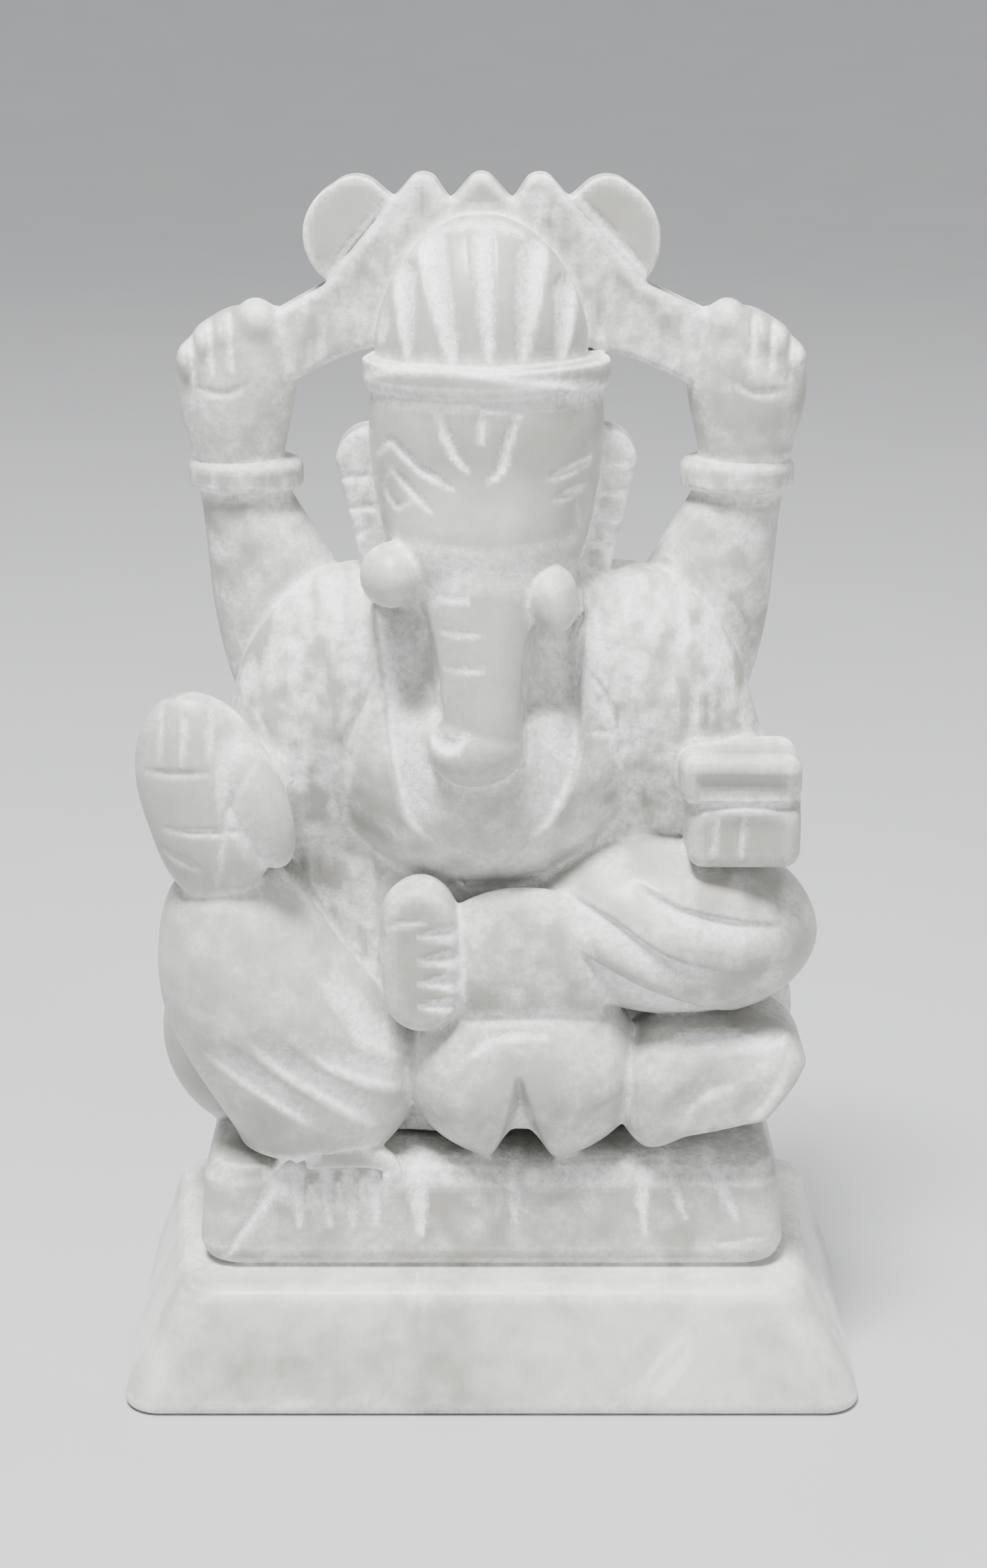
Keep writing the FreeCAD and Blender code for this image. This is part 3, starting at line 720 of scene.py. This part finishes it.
def stone_material(name, polished, cloudy, veined):
    """White stone: waxy where polished, bright and matt where the chisel frosted it and where a
    highlight is painted.
    """
    make = MaterialMaker(name)
    place = make.add("ShaderNodeTexCoord").outputs["Object"]
    white_and_highlight = make.add("ShaderNodeAttribute", attribute_name="frost_and_highlight").outputs["Fac"]
    patches = make.noise(place, scale=260, detail=5, roughness=0.65)
    patches = make.ramp(patches, low=0.35, high=0.65, start=0.65, end=1.3)
    grains = make.noise(place, scale=1500, detail=5, roughness=0.75)
    grains = make.ramp(grains, low=0.34, high=0.66, start=0.4, end=1.5)
    blotched = make.math("MULTIPLY", white_and_highlight, patches)
    white = make.math("MULTIPLY", blotched, grains)
    clouds = make.ramp(make.noise(place, scale=75, detail=6, roughness=0.6), low=0.4, high=0.62)
    body = make.mix(clouds, polished, cloudy)
    veins = make.add("ShaderNodeTexNoise", {"Vector": place, "Scale": 48.0, "Detail": 8.0,
                                            "Roughness": 0.6, "Distortion": 1.4})
    veins = make.ramp(veins.outputs["Fac"], low=0.58, high=0.72, end=veined)
    body = make.mix(veins, body, VEIN)
    # Frosted stone and painted highlights go towards white.
    make.feed("Base Color", make.mix(white, body, FROST_AND_HIGHLIGHT_WHITE))
    make.feed("Roughness", make.ramp(white, low=0.1, high=0.8, start=0.34, end=0.75))
    make.shader.inputs["IOR"].default_value = 1.5
    make.shader.inputs["Specular IOR Level"].default_value = 0.45
    crumbs = make.noise(place, scale=2100, detail=6, roughness=0.75)
    scratches = make.add("ShaderNodeMapping", {"Vector": place, "Scale": (2600, 2600, 420)})
    scratches = make.noise(scratches.outputs["Vector"], scale=1.0, detail=3, roughness=0.6)
    height = make.mix(0.4, crumbs, scratches)
    depth = make.ramp(white, low=0.15, high=0.9, start=0.03, end=0.8)
    bump = make.add("ShaderNodeBump", {"Height": height, "Distance": 0.0004, "Strength": depth})
    make.feed("Normal", bump.outputs["Normal"])
    return make.material


CARVED = stone_material("carved_stone", polished=(0.32, 0.315, 0.28, 1),
                        cloudy=(0.41, 0.405, 0.37, 1), veined=0.2)
PLINTH = stone_material("plinth_stone", polished=(0.33, 0.325, 0.29, 1),
                        cloudy=(0.6, 0.595, 0.56, 1), veined=0.9)

for number, node in enumerate(NODES):
    where, field = fields[node]
    near, next_near = nearest[where], second[where]
    beyond = np.where(owner[where] == number, near - next_near, field - near) / 2
    tucked = stone[where] + TUCK * np.clip(beyond, 0, OVERLAP)
    mesh = mesh_of(np.maximum(tucked, beyond - OVERLAP), where, node + "_carved")
    piece = bpy.data.objects.new(node + "_carved", mesh)
    bpy.context.scene.collection.objects.link(piece)
    mesh.materials.append(PLINTH if node == "plinth" else CARVED)
    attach(piece, "root")
    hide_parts(node)


# ---------------------------------------------------------------- camera, light and floor

# Lengths in this part are in metres.
LENS = 59.8                             # focal length in millimetres
SENSOR = 36                             # width of the sensor in millimetres
EYE = (0.00016, -0.209, 0.114)          # where the camera stands
CAMERA_TURN = math.radians(73)          # 90 would be level, less looks down
FLOOR_FLAT = 0.9                        # radius of the level part of the floor
FLOOR_RISE = 1.4                        # height and width of its curved rim
RISE_STEPS = 20
FLOOR_SIDES = 72
FLOOR_TONES = (0.41, 0.415, 0.425, 1), (0.45, 0.455, 0.465, 1)
SKY = (0.86, 0.87, 0.88, 1)
SKY_STRENGTH = 0.2


def camera():
    """The view: straight on, from a little above."""
    data = bpy.data.cameras.new("camera")
    data.lens = LENS
    data.sensor_width = SENSOR
    data.dof.use_dof = False
    obj = bpy.data.objects.new("camera", data)
    obj.location = EYE
    obj.rotation_euler = (CAMERA_TURN, 0, 0)
    bpy.context.scene.collection.objects.link(obj)
    bpy.context.scene.camera = obj


def area_light(name, place, aim, size, power):
    """A soft square light that faces a point."""
    data = bpy.data.lights.new(name, "AREA")
    data.size = size
    data.energy = power
    obj = bpy.data.objects.new(name, data)
    obj.location = place
    direction = Vector(aim) - Vector(place)
    obj.rotation_euler = direction.to_track_quat("-Z", "Y").to_euler()
    bpy.context.scene.collection.objects.link(obj)


def floor():
    """Round pale floor whose rim curves up into a backdrop on every side."""
    profile = []
    for number in range(RISE_STEPS + 1):
        turn = math.pi / 2 * number / RISE_STEPS
        profile.append((FLOOR_FLAT + FLOOR_RISE * math.sin(turn),
                        FLOOR_RISE * (1 - math.cos(turn))))
    corners = []
    for reach, height in profile:
        for number in range(FLOOR_SIDES):
            turn = 2 * math.pi * number / FLOOR_SIDES
            corners.append((reach * math.cos(turn), reach * math.sin(turn), height))
    faces = [tuple(range(FLOOR_SIDES))]
    for ring in range(RISE_STEPS):
        first = ring * FLOOR_SIDES
        for number in range(FLOOR_SIDES):
            here = first + number
            onward = first + (number + 1) % FLOOR_SIDES
            faces.append((here, here + FLOOR_SIDES, onward + FLOOR_SIDES, onward))
    mesh = bpy.data.meshes.new("floor")
    mesh.from_pydata(corners, [], faces)
    mesh.shade_smooth()
    obj = bpy.data.objects.new("floor", mesh)
    bpy.context.scene.collection.objects.link(obj)
    make = MaterialMaker("floor")
    place = make.add("ShaderNodeTexCoord").outputs["Object"]
    tone = make.mix(make.noise(place, scale=30, detail=3), *FLOOR_TONES)
    make.feed("Base Color", tone)
    make.shader.inputs["Roughness"].default_value = 0.6
    mesh.materials.append(make.material)


def studio():
    """Even pale surroundings for the lights to fill in."""
    world = bpy.data.worlds.new("studio")
    bpy.context.scene.world = world
    world.use_nodes = True
    background = world.node_tree.nodes["Background"]
    background.inputs["Color"].default_value = SKY
    background.inputs["Strength"].default_value = SKY_STRENGTH


camera()
area_light("key", place=(-0.08, -0.16, 0.55), aim=(0, 0, 0.05), size=0.14, power=9)
area_light("fill", place=(0.35, -0.5, 0.3), aim=(0, 0, 0.05), size=0.3, power=1.6)
area_light("overhead", place=(0, 0.3, 2.0), aim=(0, 0.3, 0), size=1.6, power=40)
floor()
studio()
